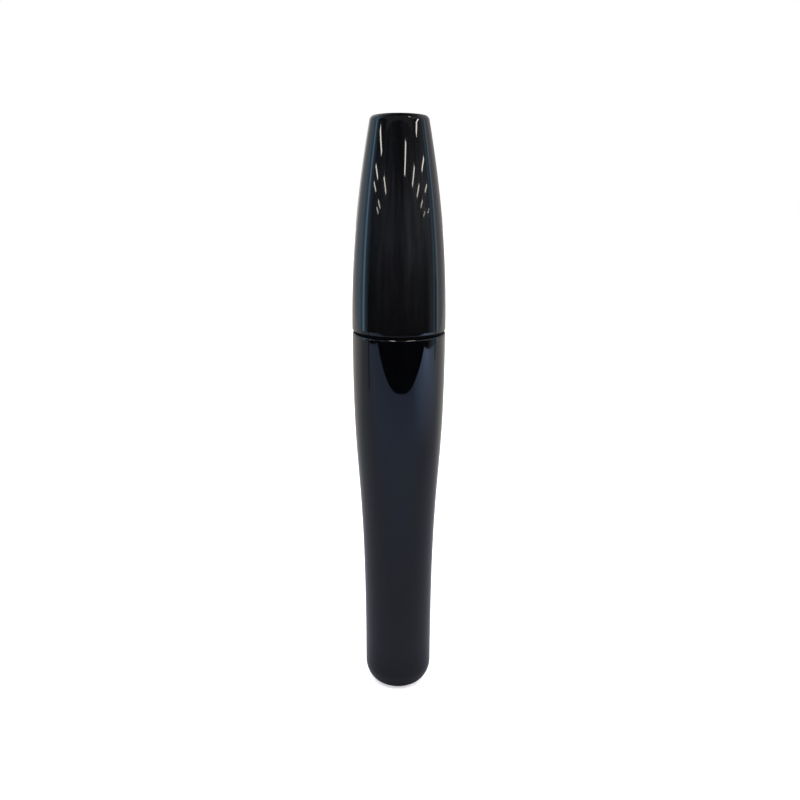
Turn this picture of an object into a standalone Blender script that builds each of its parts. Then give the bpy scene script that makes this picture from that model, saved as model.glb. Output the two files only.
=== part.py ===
"""A mascara: a glossy tube with a rounded foot, and a tapered screw cap that carries the wand.

Metres, +Z up. The origin is the centre of the flat foot, and every piece is turned about the Z axis.
The mascara is closed. The cap unscrews anticlockwise, seen from above, and climbs its thread.
A turned profile is a list of (radius, height) points that runs down the outer side of its piece.
"""
import math

import bmesh
import bpy
from mathutils import Matrix, Vector

MM = 0.001

# Whole object
TOTAL_HEIGHT = 128.0 * MM
SEAM_Z = 84.1 * MM             # lower rim of the cap
SEAM_GAP = 0.6 * MM            # dark groove between the cap and the tube
CLEARANCE = 0.3 * MM           # between pieces that touch on the real object
SEAT_GAP = 0.1 * MM            # between flat faces that are pressed together

# Outer tube: an S-shaped flank from the shoulder down to a narrow, rounded foot
TUBE_TOP_Z = SEAM_Z - SEAM_GAP
TUBE_TOP_RADIUS = 9.95 * MM
TUBE_TOP_EDGE = 0.35 * MM
TUBE_WALL = 1.2 * MM
FOOT_RADIUS = 7.5 * MM
FOOT_FLAT_RADIUS = 3.5 * MM
FOOT_ROUND_HEIGHT = 5.05 * MM
SHOULDER_HANDLE = 0.467        # lengths of the flank's curve handles, as fractions of its height
FOOT_HANDLE = 0.663
MOUTH_RADIUS = 8.8 * MM
LEDGE_RADIUS = 7.9 * MM        # shelf in the mouth, for the vial's flange
LEDGE_Z = 80.1 * MM
BASE_THICKNESS = 2.6 * MM

# Label, stuck into a recess under the foot
LABEL_RADIUS = 2.4 * MM
LABEL_THICKNESS = 0.15 * MM
LABEL_RECESS = 0.3 * MM

# Vial, with the neck that the cap screws on to
VIAL_BOTTOM_Z = BASE_THICKNESS + CLEARANCE
VIAL_FOOT_RADIUS = 5.9 * MM
VIAL_BODY_RADIUS = 7.3 * MM
VIAL_TAPER_BOTTOM_Z = 30.0 * MM
VIAL_TAPER_TOP_Z = 68.0 * MM
VIAL_WALL = 0.9 * MM
FLANGE_RADIUS = 8.5 * MM
FLANGE_THICKNESS = 1.2 * MM
NECK_RADIUS = 5.9 * MM
NECK_BORE_RADIUS = 4.9 * MM
NECK_TOP_Z = 98.5 * MM

# Screw thread: one rounded, right-handed ridge on the neck and one in the cap liner
THREAD_PITCH = 3.0 * MM
THREAD_TURNS = 1
RIDGE_RADIUS = 0.55 * MM
RIDGE_STAND_OFF = 0.12 * MM    # from the wall to the centre of the ridge's section
NECK_THREAD_Z = 89.5 * MM      # lower end of the neck's ridge
LINER_THREAD_Z = NECK_THREAD_Z - THREAD_PITCH / 2

# Wiper in the neck, and the paste
WIPER_FLANGE_RADIUS = 5.5 * MM
WIPER_FLANGE_THICKNESS = 0.45 * MM
WIPER_WALL = 0.6 * MM
WIPER_SLEEVE_LENGTH = 8.0 * MM
WIPER_CONE_LENGTH = 3.6 * MM
PASTE_TOP_Z = 66.0 * MM

# Collar over the tube's mouth
COLLAR_RADIUS = 9.7 * MM
COLLAR_SKIRT_DEPTH = 1.5 * MM
COLLAR_SKIRT_WALL = 0.7 * MM

# Cap shell: a taper from the top that swells into an upright rim at the seam
RIM_RADIUS = 10.0 * MM
RIM_EDGE = 0.25 * MM
CAP_TOP_RADIUS = 6.07 * MM     # where the flank meets the rounded top edge
CAP_TOP_EDGE = 1.4 * MM
CAP_CROWN = 0.15 * MM          # rise of the top at its centre
CAP_TAPER_DEGREES = 10.2       # lean of the flank below the top edge
CAP_TOP_HANDLE = 0.315         # lengths of the flank's curve handles, as fractions of its height
CAP_RIM_HANDLE = 0.385
CAP_WALL = 1.1 * MM
CAP_TOP_WALL = 1.6 * MM

# Cap liner, with the socket for the wand
LINER_BOTTOM_Z = SEAM_Z + 0.7 * MM
LINER_BORE_RADIUS = 6.9 * MM
LINER_RADIUS = 7.8 * MM
WEB_Z = 100.1 * MM             # underside of the web above the neck
WEB_THICKNESS = 1.1 * MM
SOCKET_RADIUS = 3.2 * MM
SOCKET_WALL = 1.2 * MM
SOCKET_TOP_Z = 114.5 * MM
RIB_COUNT = 8
RIB_REACH = 0.5 * MM
RIB_WIDTH = 1.0 * MM
RIB_LENGTH = 10.0 * MM

# Weight and seal in the cap
WEIGHT_RADIUS = 6.6 * MM
WEIGHT_HEIGHT = 12.0 * MM
SEAL_RADIUS = 5.6 * MM

# Wand: rod, twisted wire and bristles
ROD_RADIUS = 1.9 * MM
ROD_HEAD_TOP_Z = 112.0 * MM
ROD_BOTTOM_Z = 40.0 * MM
CRIMP_DEPTH = 8.0 * MM
WIRE_RADIUS = 0.6 * MM
WIRE_TIP_Z = 9.0 * MM
BRISTLE_BOTTOM_Z = 10.5 * MM
BRISTLE_TOP_Z = 38.5 * MM
BRISTLE_RADIUS = 3.6 * MM
BRISTLE_TIP_RADIUS = 2.2 * MM

SHELL_STEPS = 36               # facets around the two outer shells and the collar
INNER_STEPS = 24               # facets around the pieces inside them
MERGE_DISTANCE = 1e-6

PLASTIC_BLACK = (0.010, 0.010, 0.012)
PLASTIC_NAVY = (0.011, 0.014, 0.021)


def clear_scene():
    """Remove whatever the file holds."""
    for obj in list(bpy.data.objects):
        bpy.data.objects.remove(obj, do_unlink=True)


def new_collection(name):
    """A collection linked to the scene."""
    collection = bpy.data.collections.new(name)
    bpy.context.scene.collection.children.link(collection)
    return collection


def material(name, colour, roughness, metallic=0.0):
    """A Principled material of one colour."""
    result = bpy.data.materials.new(name)
    result.use_nodes = True
    shader = result.node_tree.nodes["Principled BSDF"]
    shader.inputs["Base Color"].default_value = (*colour, 1.0)
    shader.inputs["Roughness"].default_value = roughness
    shader.inputs["Metallic"].default_value = metallic
    return result


# Outlines

def bezier(start, start_handle, end_handle, end, segments):
    """Points along a cubic curve, both ends included."""
    points = []
    for i in range(segments + 1):
        t = i / segments
        s = 1.0 - t
        point = (s ** 3 * Vector(start) + 3 * s * s * t * Vector(start_handle)
                 + 3 * s * t * t * Vector(end_handle) + t ** 3 * Vector(end))
        points.append((point.x, point.y))
    return points


def arc(centre, radii, start_degrees, end_degrees, segments):
    """Points along an elliptical arc, both ends included. 0 degrees points outwards, 90 upwards."""
    points = []
    for i in range(segments + 1):
        angle = math.radians(start_degrees + (end_degrees - start_degrees) * i / segments)
        points.append((centre[0] + radii[0] * math.cos(angle), centre[1] + radii[1] * math.sin(angle)))
    return points


def offset(points, distance):
    """The same points, moved towards the axis."""
    return [(radius - distance, height) for radius, height in points]


def tube_flank():
    """Outer side of the tube, from under its top edge down to the start of the rounded foot."""
    top = TUBE_TOP_Z - TUBE_TOP_EDGE
    height = top - FOOT_ROUND_HEIGHT
    return bezier((TUBE_TOP_RADIUS, top), (TUBE_TOP_RADIUS, top - SHOULDER_HANDLE * height),
                  (FOOT_RADIUS, FOOT_ROUND_HEIGHT + FOOT_HANDLE * height),
                  (FOOT_RADIUS, FOOT_ROUND_HEIGHT), 12)


def cap_edge_centre():
    """Centre of the rounded top edge, which meets the flank without a kink."""
    lean = math.radians(CAP_TAPER_DEGREES)
    return (CAP_TOP_RADIUS - CAP_TOP_EDGE * math.cos(lean), TOTAL_HEIGHT - CAP_CROWN - CAP_TOP_EDGE)


def cap_flank():
    """Outer side of the cap, from under its top edge down to the top of its rim edge."""
    lean = math.radians(CAP_TAPER_DEGREES)
    top = cap_edge_centre()[1] + CAP_TOP_EDGE * math.sin(lean)
    bottom = SEAM_Z + RIM_EDGE
    height = top - bottom
    handle = CAP_TOP_HANDLE * height
    return bezier((CAP_TOP_RADIUS, top), (CAP_TOP_RADIUS + handle * math.tan(lean), top - handle),
                  (RIM_RADIUS, bottom + CAP_RIM_HANDLE * height), (RIM_RADIUS, bottom), 10)


def vial_flank(inset):
    """Side of the vial from its shoulder down to its foot, moved inwards by inset."""
    body = VIAL_BODY_RADIUS - inset
    foot = VIAL_FOOT_RADIUS - inset
    middle = (VIAL_TAPER_TOP_Z + VIAL_TAPER_BOTTOM_Z) / 2
    return bezier((body, VIAL_TAPER_TOP_Z), (body, middle), (foot, middle), (foot, VIAL_TAPER_BOTTOM_Z), 6)


def vial_foot(inset):
    """Rounded foot of the vial down to its flat bottom, moved inwards by inset."""
    centre = (FOOT_FLAT_RADIUS, FOOT_ROUND_HEIGHT + CLEARANCE)
    radii = (VIAL_FOOT_RADIUS - FOOT_FLAT_RADIUS - inset, centre[1] - VIAL_BOTTOM_Z - inset)
    return arc(centre, radii, 0, -90, 3)


# Building

def turned(name, profile, closed, steps):
    """An object that turns a profile about Z with a Screw modifier."""
    mesh = bpy.data.meshes.new(name)
    edges = [(i, i + 1) for i in range(len(profile) - 1)]
    if closed:
        edges.append((len(profile) - 1, 0))
    mesh.from_pydata([(radius, 0.0, height) for radius, height in profile], edges, [])
    obj = bpy.data.objects.new(name, mesh)
    screw = obj.modifiers.new("turn", "SCREW")
    screw.steps = steps
    screw.render_steps = steps
    screw.use_merge_vertices = True
    screw.merge_threshold = MERGE_DISTANCE
    return obj


def baked(obj, collection):
    """Replace a curve, or an object with modifiers, by the plain mesh that it makes."""
    collection.objects.link(obj)
    depsgraph = bpy.context.evaluated_depsgraph_get()
    mesh = bpy.data.meshes.new_from_object(obj.evaluated_get(depsgraph))
    weld = bmesh.new()
    weld.from_mesh(mesh)
    bmesh.ops.remove_doubles(weld, verts=weld.verts, dist=MERGE_DISTANCE)
    weld.to_mesh(mesh)
    weld.free()
    name = obj.name
    bpy.data.objects.remove(obj, do_unlink=True)
    result = bpy.data.objects.new(name, mesh)
    collection.objects.link(result)
    return result


def finished(obj, finish, parent=None):
    """Shade a piece smooth between its edges, and give it its material and its parent."""
    obj.data.materials.clear()
    obj.data.materials.append(finish)
    obj.data.shade_smooth()
    obj.data.set_sharp_from_angle(angle=math.radians(30.0))
    obj.parent = parent
    return obj


def add_turned(name, profile, finish, collection, closed=True, steps=INNER_STEPS, parent=None):
    """A finished turned piece. A profile that meets the axis at both ends isn't closed."""
    return finished(baked(turned(name, profile, closed, steps), collection), finish, parent)


def hide_cutter(obj):
    """Mark an object that only shapes another."""
    obj.hide_render = True
    obj.display_type = "WIRE"


def unite(obj, addition):
    """Join a second solid on to a piece."""
    hide_cutter(addition)
    union = obj.modifiers.new("join_" + addition.name, "BOOLEAN")
    union.operation = "UNION"
    union.object = addition


def thread_ridge(name, centre_radius, bottom_z, cutters):
    """A helical ridge of round section, one closed solid."""
    curve = bpy.data.curves.new(name, "CURVE")
    curve.dimensions = "3D"
    curve.bevel_depth = RIDGE_RADIUS
    curve.bevel_resolution = 2
    curve.use_fill_caps = True
    count = INNER_STEPS * THREAD_TURNS
    spline = curve.splines.new("POLY")
    spline.points.add(count)
    for i, point in enumerate(spline.points):
        angle = 2.0 * math.pi * i / INNER_STEPS
        height = bottom_z + THREAD_PITCH * i / INNER_STEPS
        point.co = (centre_radius * math.cos(angle), centre_radius * math.sin(angle), height, 1.0)
    return baked(bpy.data.objects.new(name, curve), cutters)


def liner_ribs(cutters):
    """Upright ribs around the liner's skirt, which grip the inside of the cap shell."""
    inner = (LINER_BORE_RADIUS + LINER_RADIUS) / 2
    outer = LINER_RADIUS + RIB_REACH
    build = bmesh.new()
    for i in range(RIB_COUNT):
        box = bmesh.ops.create_cube(build, size=1.0)["verts"]
        bmesh.ops.scale(build, vec=(outer - inner, RIB_WIDTH, RIB_LENGTH), verts=box)
        centre = ((inner + outer) / 2, 0.0, LINER_BOTTOM_Z + 1.0 * MM + RIB_LENGTH / 2)
        bmesh.ops.translate(build, vec=centre, verts=box)
        turn = Matrix.Rotation(2.0 * math.pi * (i + 0.5) / RIB_COUNT, 4, "Z")
        bmesh.ops.transform(build, matrix=turn, verts=box)
    mesh = bpy.data.meshes.new("liner_ribs")
    build.to_mesh(mesh)
    build.free()
    ribs = bpy.data.objects.new("liner_ribs", mesh)
    cutters.objects.link(ribs)
    return ribs


# Pieces of the tube

def add_outer_tube(parts):
    """Outer shell: foot with a label recess, S-shaped flank, and a mouth with a ledge."""
    foot_centre = (FOOT_FLAT_RADIUS, FOOT_ROUND_HEIGHT)
    floor_radii = (FOOT_RADIUS - TUBE_WALL - FOOT_FLAT_RADIUS, FOOT_ROUND_HEIGHT - BASE_THICKNESS)
    inner_wall = [point for point in offset(tube_flank(), TUBE_WALL) if point[0] < LEDGE_RADIUS]
    recess_radius = LABEL_RADIUS + SEAT_GAP
    profile = [(0.0, BASE_THICKNESS)]
    profile += arc(foot_centre, floor_radii, -90, 0, 3)[:-1]
    profile += inner_wall[::-1]
    profile += [(LEDGE_RADIUS, inner_wall[0][1] + CLEARANCE), (LEDGE_RADIUS, LEDGE_Z),
                (MOUTH_RADIUS, LEDGE_Z), (MOUTH_RADIUS, TUBE_TOP_Z)]
    edge_centre = (TUBE_TOP_RADIUS - TUBE_TOP_EDGE, TUBE_TOP_Z - TUBE_TOP_EDGE)
    profile += arc(edge_centre, (TUBE_TOP_EDGE, TUBE_TOP_EDGE), 90, 0, 2)[:-1]
    profile += tube_flank()[:-1]
    profile += arc(foot_centre, (FOOT_RADIUS - FOOT_FLAT_RADIUS, FOOT_ROUND_HEIGHT), 0, -90, 6)
    profile += [(recess_radius, 0.0), (recess_radius, LABEL_RECESS), (0.0, LABEL_RECESS)]
    finish = material("tube_gloss", PLASTIC_NAVY, 0.08)
    add_turned("outer_tube", profile, finish, parts, closed=False, steps=SHELL_STEPS)


def add_base_label(parts):
    """Blank round sticker in the foot's recess."""
    top = LABEL_RECESS - SEAT_GAP
    profile = [(0.0, top), (LABEL_RADIUS, top), (LABEL_RADIUS, top - LABEL_THICKNESS),
               (0.0, top - LABEL_THICKNESS)]
    add_turned("base_label", profile, material("label_paper", (0.7, 0.7, 0.68), 0.6), parts, closed=False)


def add_inner_vial(parts, cutters):
    """Vial that holds the paste: tapered body, flange for the ledge, and threaded neck."""
    flange_bottom = LEDGE_Z + CLEARANCE
    flange_top = flange_bottom + FLANGE_THICKNESS
    chamfer = 0.2 * MM
    profile = [(0.0, VIAL_BOTTOM_Z + VIAL_WALL)]
    profile += vial_foot(VIAL_WALL)[::-1]
    profile += vial_flank(VIAL_WALL)[::-1]
    profile += [(VIAL_BODY_RADIUS - VIAL_WALL, flange_bottom - 3.0 * MM), (NECK_BORE_RADIUS, flange_top),
                (NECK_BORE_RADIUS, NECK_TOP_Z), (NECK_RADIUS - chamfer, NECK_TOP_Z),
                (NECK_RADIUS, NECK_TOP_Z - chamfer), (NECK_RADIUS, flange_top),
                (FLANGE_RADIUS, flange_top), (FLANGE_RADIUS, flange_bottom),
                (VIAL_BODY_RADIUS, flange_bottom)]
    profile += vial_flank(0.0)
    profile += vial_foot(0.0)
    profile += [(0.0, VIAL_BOTTOM_Z)]
    finish = material("vial_plastic", (0.62, 0.62, 0.60), 0.35)
    vial = add_turned("inner_vial", profile, finish, parts, closed=False)
    unite(vial, thread_ridge("neck_thread", NECK_RADIUS + RIDGE_STAND_OFF, NECK_THREAD_Z, cutters))


def add_mascara_paste(parts):
    """Paste in the vial, with the open channel that the brush leaves in it."""
    channel = BRISTLE_RADIUS + CLEARANCE
    gap = VIAL_WALL + CLEARANCE
    profile = [(0.0, WIRE_TIP_Z - 1.0 * MM), (channel, WIRE_TIP_Z), (channel, PASTE_TOP_Z),
               (vial_flank(gap)[0][0], PASTE_TOP_Z)]
    profile += vial_flank(gap)[1:]
    profile += vial_foot(gap)
    profile += [(0.0, VIAL_BOTTOM_Z + gap)]
    finish = material("mascara_black", (0.004, 0.004, 0.004), 0.3)
    add_turned("mascara_paste", profile, finish, parts, closed=False)


def add_wiper(parts):
    """Soft sleeve in the neck that narrows to a lip around the rod."""
    bottom = NECK_TOP_Z + CLEARANCE
    top = bottom + WIPER_FLANGE_THICKNESS
    outer = NECK_BORE_RADIUS - CLEARANCE
    lip = ROD_RADIUS + CLEARANCE
    cone_top = NECK_TOP_Z - WIPER_SLEEVE_LENGTH
    cone_bottom = cone_top - WIPER_CONE_LENGTH
    profile = [(WIPER_FLANGE_RADIUS, top), (WIPER_FLANGE_RADIUS, bottom), (outer, bottom),
               (outer, cone_top), (lip + WIPER_WALL, cone_bottom), (lip, cone_bottom),
               (lip, cone_bottom + WIPER_WALL), (outer - WIPER_WALL, cone_top + WIPER_WALL),
               (outer - WIPER_WALL, top)]
    add_turned("wiper", profile, material("wiper_rubber", (0.10, 0.10, 0.11), 0.5), parts)


def add_neck_collar(parts):
    """Thin ring that closes the tube's mouth around the neck; its edge shows in the seam."""
    bottom = TUBE_TOP_Z + SEAT_GAP
    top = SEAM_Z - SEAT_GAP
    skirt = MOUTH_RADIUS - CLEARANCE
    inner_skirt = skirt - COLLAR_SKIRT_WALL
    bore = NECK_RADIUS + CLEARANCE
    profile = [(COLLAR_RADIUS, top), (COLLAR_RADIUS, bottom), (skirt, bottom),
               (skirt, bottom - COLLAR_SKIRT_DEPTH), (inner_skirt, bottom - COLLAR_SKIRT_DEPTH),
               (inner_skirt, bottom), (bore, bottom), (bore, top)]
    add_turned("neck_collar", profile, material("collar_satin", (0.006, 0.006, 0.007), 0.45), parts,
               steps=SHELL_STEPS)


# Pieces of the cap

def add_cap_shell(parts, parent):
    """Outer shell of the cap: crowned top, tapered flank and upright rim."""
    edge_centre = cap_edge_centre()
    rim_centre = (RIM_RADIUS - RIM_EDGE, SEAM_Z + RIM_EDGE)
    ceiling = TOTAL_HEIGHT - CAP_TOP_WALL
    inner_wall = [point for point in offset(cap_flank(), CAP_WALL) if point[1] < ceiling - CAP_WALL]
    profile = [(0.0, TOTAL_HEIGHT), (edge_centre[0] / 2, TOTAL_HEIGHT - CAP_CROWN / 4)]
    profile += arc(edge_centre, (CAP_TOP_EDGE, CAP_TOP_EDGE), 90, CAP_TAPER_DEGREES, 4)[:-1]
    profile += cap_flank()
    profile += arc(rim_centre, (RIM_EDGE, RIM_EDGE), 0, -90, 2)[1:]
    profile += [(RIM_RADIUS - CAP_WALL, SEAM_Z)]
    profile += inner_wall[::-1]
    profile += [(inner_wall[0][0] - CAP_WALL, ceiling), (0.0, ceiling)]
    finish = material("cap_gloss", PLASTIC_BLACK, 0.06)
    add_turned("cap_shell", profile, finish, parts, closed=False, steps=SHELL_STEPS, parent=parent)


def add_cap_liner(parts, cutters, parent):
    """Inner cap: threaded skirt with ribs, web above the neck, and socket for the wand's head."""
    web_top = WEB_Z + WEB_THICKNESS
    socket_outer = SOCKET_RADIUS + SOCKET_WALL
    profile = [(socket_outer, SOCKET_TOP_Z), (socket_outer, web_top), (LINER_RADIUS, web_top),
               (LINER_RADIUS, LINER_BOTTOM_Z), (LINER_BORE_RADIUS, LINER_BOTTOM_Z),
               (LINER_BORE_RADIUS, WEB_Z), (SOCKET_RADIUS, WEB_Z), (SOCKET_RADIUS, SOCKET_TOP_Z)]
    finish = material("liner_plastic", (0.015, 0.015, 0.016), 0.4)
    liner = add_turned("cap_liner", profile, finish, parts, parent=parent)
    thread_radius = LINER_BORE_RADIUS - RIDGE_STAND_OFF
    unite(liner, thread_ridge("liner_thread", thread_radius, LINER_THREAD_Z, cutters))
    unite(liner, liner_ribs(cutters))


def add_cap_weight(parts, parent):
    """Steel sleeve around the liner's socket."""
    bottom = WEB_Z + WEB_THICKNESS + CLEARANCE
    top = bottom + WEIGHT_HEIGHT
    bore = SOCKET_RADIUS + SOCKET_WALL + CLEARANCE
    profile = [(WEIGHT_RADIUS, top), (WEIGHT_RADIUS, bottom), (bore, bottom), (bore, top)]
    add_turned("cap_weight", profile, material("weight_steel", (0.55, 0.55, 0.56), 0.3, 1.0), parts,
               parent=parent)


def add_cap_seal(parts, parent):
    """Foam washer that the liner's web presses on to the wiper's flange."""
    top = WEB_Z - SEAT_GAP
    bottom = NECK_TOP_Z + CLEARANCE + WIPER_FLANGE_THICKNESS + SEAT_GAP
    bore = ROD_RADIUS + CLEARANCE
    profile = [(SEAL_RADIUS, top), (SEAL_RADIUS, bottom), (bore, bottom), (bore, top)]
    add_turned("cap_seal", profile, material("seal_foam", (0.75, 0.75, 0.72), 0.8), parts, parent=parent)


def add_wand_rod(parts, parent):
    """Rod with the head that is pressed into the socket, and a bore that holds the wire."""
    head = SOCKET_RADIUS - CLEARANCE
    chamfer = 0.3 * MM
    crimp_bore = WIRE_RADIUS + CLEARANCE
    crimp_top = ROD_BOTTOM_Z + CRIMP_DEPTH
    profile = [(0.0, ROD_HEAD_TOP_Z), (head - chamfer, ROD_HEAD_TOP_Z), (head, ROD_HEAD_TOP_Z - chamfer),
               (head, WEB_Z), (ROD_RADIUS, WEB_Z), (ROD_RADIUS, ROD_BOTTOM_Z + chamfer),
               (ROD_RADIUS - chamfer, ROD_BOTTOM_Z), (crimp_bore, ROD_BOTTOM_Z),
               (crimp_bore, crimp_top), (0.0, crimp_top)]
    add_turned("wand_rod", profile, material("rod_plastic", (0.008, 0.008, 0.009), 0.35), parts,
               closed=False, parent=parent)


def add_brush_core(parts, parent):
    """Wire of the brush, crimped into the rod."""
    top = ROD_BOTTOM_Z + CRIMP_DEPTH - CLEARANCE
    profile = [(0.0, top), (WIRE_RADIUS, top), (WIRE_RADIUS, WIRE_TIP_Z + WIRE_RADIUS),
               (WIRE_RADIUS / 2, WIRE_TIP_Z), (0.0, WIRE_TIP_Z)]
    add_turned("brush_core", profile, material("wire_steel", (0.45, 0.45, 0.46), 0.35, 1.0), parts,
               closed=False, parent=parent)


def add_brush_bristles(parts, parent):
    """Outer shape of the bristles: full near the rod, tapered to the tip."""
    bore = WIRE_RADIUS + CLEARANCE
    end_slope = 1.5 * MM
    length = BRISTLE_TOP_Z - BRISTLE_BOTTOM_Z
    profile = [(bore + end_slope, BRISTLE_TOP_Z)]
    profile += bezier((BRISTLE_RADIUS, BRISTLE_TOP_Z - end_slope),
                      (BRISTLE_RADIUS, BRISTLE_TOP_Z - length / 2),
                      (BRISTLE_RADIUS, BRISTLE_BOTTOM_Z + length / 3),
                      (BRISTLE_TIP_RADIUS, BRISTLE_BOTTOM_Z + end_slope), 6)
    profile += [(bore + end_slope / 2, BRISTLE_BOTTOM_Z), (bore, BRISTLE_BOTTOM_Z), (bore, BRISTLE_TOP_Z)]
    add_turned("brush_bristles", profile, material("bristle_nylon", (0.01, 0.01, 0.011), 0.5), parts,
               parent=parent)


def main():
    clear_scene()
    parts = new_collection("mascara")
    cutters = new_collection("cutters")

    add_outer_tube(parts)
    add_base_label(parts)
    add_inner_vial(parts, cutters)
    add_mascara_paste(parts)
    add_wiper(parts)
    add_neck_collar(parts)

    cap_axis = bpy.data.objects.new("cap_axis", None)
    parts.objects.link(cap_axis)
    add_cap_shell(parts, cap_axis)
    add_cap_liner(parts, cutters, cap_axis)
    add_cap_weight(parts, cap_axis)
    add_cap_seal(parts, cap_axis)
    add_wand_rod(parts, cap_axis)
    add_brush_core(parts, cap_axis)
    add_brush_bristles(parts, cap_axis)


main()
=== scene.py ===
"""The looks of the mascara: fine turned pieces, procedural materials, a white floor and the camera.

Metres, +Z up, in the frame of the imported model. The front, where the camera stands, is -Y.
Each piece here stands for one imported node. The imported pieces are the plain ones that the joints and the
masses use; the ones here have the same heights and diameters, with moulded edges, fine threads, a twisted
wire and single bristles.
The gloss shows its surroundings, so the table, the cards, the ceiling lamps and the room are there for
the reflections. The camera itself sees the object on a plain white floor.
A turned profile is a list of (radius, height) points that runs around the section of its piece.
"""
import math
import random

import bpy
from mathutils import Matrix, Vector


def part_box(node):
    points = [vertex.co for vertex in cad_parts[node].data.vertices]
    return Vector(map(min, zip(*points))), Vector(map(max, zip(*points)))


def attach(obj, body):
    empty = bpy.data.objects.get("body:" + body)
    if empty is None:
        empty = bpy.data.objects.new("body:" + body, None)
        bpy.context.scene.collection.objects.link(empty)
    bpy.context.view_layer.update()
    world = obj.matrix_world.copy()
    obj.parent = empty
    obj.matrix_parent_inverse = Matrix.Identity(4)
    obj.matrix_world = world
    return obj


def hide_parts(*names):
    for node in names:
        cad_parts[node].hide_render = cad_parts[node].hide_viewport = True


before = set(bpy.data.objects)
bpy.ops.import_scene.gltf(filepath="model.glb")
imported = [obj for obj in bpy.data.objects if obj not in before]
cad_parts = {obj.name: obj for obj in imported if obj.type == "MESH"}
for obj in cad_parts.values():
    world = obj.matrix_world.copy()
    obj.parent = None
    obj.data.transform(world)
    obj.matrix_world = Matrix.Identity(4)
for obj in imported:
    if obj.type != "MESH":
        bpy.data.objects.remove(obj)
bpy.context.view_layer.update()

MM = 0.001

# From the frame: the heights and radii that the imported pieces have
TUBE_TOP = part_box("outer_tube")[1]
CAP_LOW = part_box("cap_shell")[0]
CAP_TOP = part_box("cap_shell")[1]
COLLAR_LOW, COLLAR_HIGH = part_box("neck_collar")
VIAL_LOW, VIAL_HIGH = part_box("inner_vial")
PASTE_LOW, PASTE_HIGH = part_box("mascara_paste")
WIPER_LOW, WIPER_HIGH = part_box("wiper")
LINER_LOW, LINER_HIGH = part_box("cap_liner")
WEIGHT_LOW, WEIGHT_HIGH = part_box("cap_weight")
SEAL_LOW, SEAL_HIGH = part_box("cap_seal")
ROD_LOW, ROD_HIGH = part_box("wand_rod")
WIRE_LOW, WIRE_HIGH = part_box("brush_core")
BRISTLE_LOW, BRISTLE_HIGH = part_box("brush_bristles")
LABEL_LOW, LABEL_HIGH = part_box("base_label")

# Outer tube
TUBE_RADIUS = 9.95 * MM
TUBE_EDGE = 0.35 * MM
TUBE_WALL = 1.2 * MM
FOOT_RADIUS = 7.5 * MM
FOOT_FLAT_RADIUS = 3.5 * MM
FOOT_ROUND_HEIGHT = 5.05 * MM
SHOULDER_HANDLE = 0.467        # lengths of the flank's curve handles, as fractions of its height
FOOT_HANDLE = 0.663
MOUTH_RADIUS = 8.8 * MM
LEDGE_RADIUS = 7.9 * MM
LEDGE_DEPTH = 3.4 * MM         # from the mouth down to the ledge
BASE_THICKNESS = 2.6 * MM
LABEL_RECESS_RADIUS = 2.5 * MM
LABEL_RECESS = 0.3 * MM

# Vial
VIAL_WALL = 0.9 * MM
VIAL_FOOT_RADIUS = 5.9 * MM
VIAL_BODY_RADIUS = 7.3 * MM
VIAL_TAPER_Z = (30.0 * MM, 68.0 * MM)
FLANGE_RADIUS = 8.5 * MM
FLANGE_Z = (80.4 * MM, 81.6 * MM)
NECK_RADIUS = 5.9 * MM
NECK_BORE_RADIUS = 4.9 * MM
VIAL_FOOT_ROUND_Z = FOOT_ROUND_HEIGHT + 0.3 * MM
PASTE_GAP = VIAL_WALL + 0.3 * MM
PASTE_CHANNEL_RADIUS = 3.9 * MM
WIRE_TIP_Z = WIRE_LOW.z
PASTE_FLOOR_Z = WIRE_TIP_Z - 1.0 * MM
PASTE_WAVE = 0.04 * MM

# Screw thread: a rounded, right-handed ridge on the neck and one in the liner
THREAD_PITCH = 3.0 * MM
RIDGE_HEIGHT = 0.66 * MM
RIDGE_HALF_WIDTH = 0.75 * MM
RIDGE_RUN = 0.09               # share of the turn over which each end fades
RIDGE_POWER = 1.3              # above 1, the ridge narrows towards its crest
THREAD_ROWS = 44               # rows of points over the height of a thread
NECK_THREAD_Z = 89.5 * MM
LINER_THREAD_Z = NECK_THREAD_Z - THREAD_PITCH / 2

# Wiper
WIPER_SLEEVE_Z = 90.5 * MM
WIPER_SLEEVE_RADIUS = 4.6 * MM
WIPER_WALL = 0.6 * MM
WIPER_FLANGE_Z = 98.8 * MM
WIPER_LIP_RADIUS = 2.2 * MM

# Collar
COLLAR_SKIRT_RADIUS = 8.5 * MM
COLLAR_SKIRT_BORE = 7.8 * MM
COLLAR_PLATE_Z = TUBE_TOP.z + 0.1 * MM
COLLAR_BORE = 6.2 * MM

# Cap shell
RIM_RADIUS = 10.0 * MM
RIM_EDGE = 0.18 * MM
CAP_TOP_RADIUS = 6.07 * MM     # where the flank meets the rounded top edge
CAP_TOP_EDGE = 1.2 * MM
CAP_CROWN = 0.38 * MM
CROWN_POWER = 2.8              # the crown is nearly flat in the middle and falls towards the edge
CROWN_END_DEGREES = 78.0       # where on the rounded edge the crown meets it
CROWN_STEPS = 16
CAP_TAPER_DEGREES = 10.2
CAP_TOP_HANDLE = 0.315
CAP_RIM_HANDLE = 0.385
CAP_WALL = 1.1 * MM
CAP_TOP_WALL = 1.6 * MM

# Liner
LINER_RADIUS = 7.8 * MM
LINER_BORE = 6.9 * MM
WEB_Z = (100.1 * MM, 101.2 * MM)
SOCKET_RADIUS = 3.2 * MM
SOCKET_OUTER_RADIUS = 4.4 * MM
RIB_COUNT = 8
RIB_REACH = 0.5 * MM
RIB_WIDTH = 1.0 * MM
RIB_Z = (85.8 * MM, 95.8 * MM)

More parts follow.
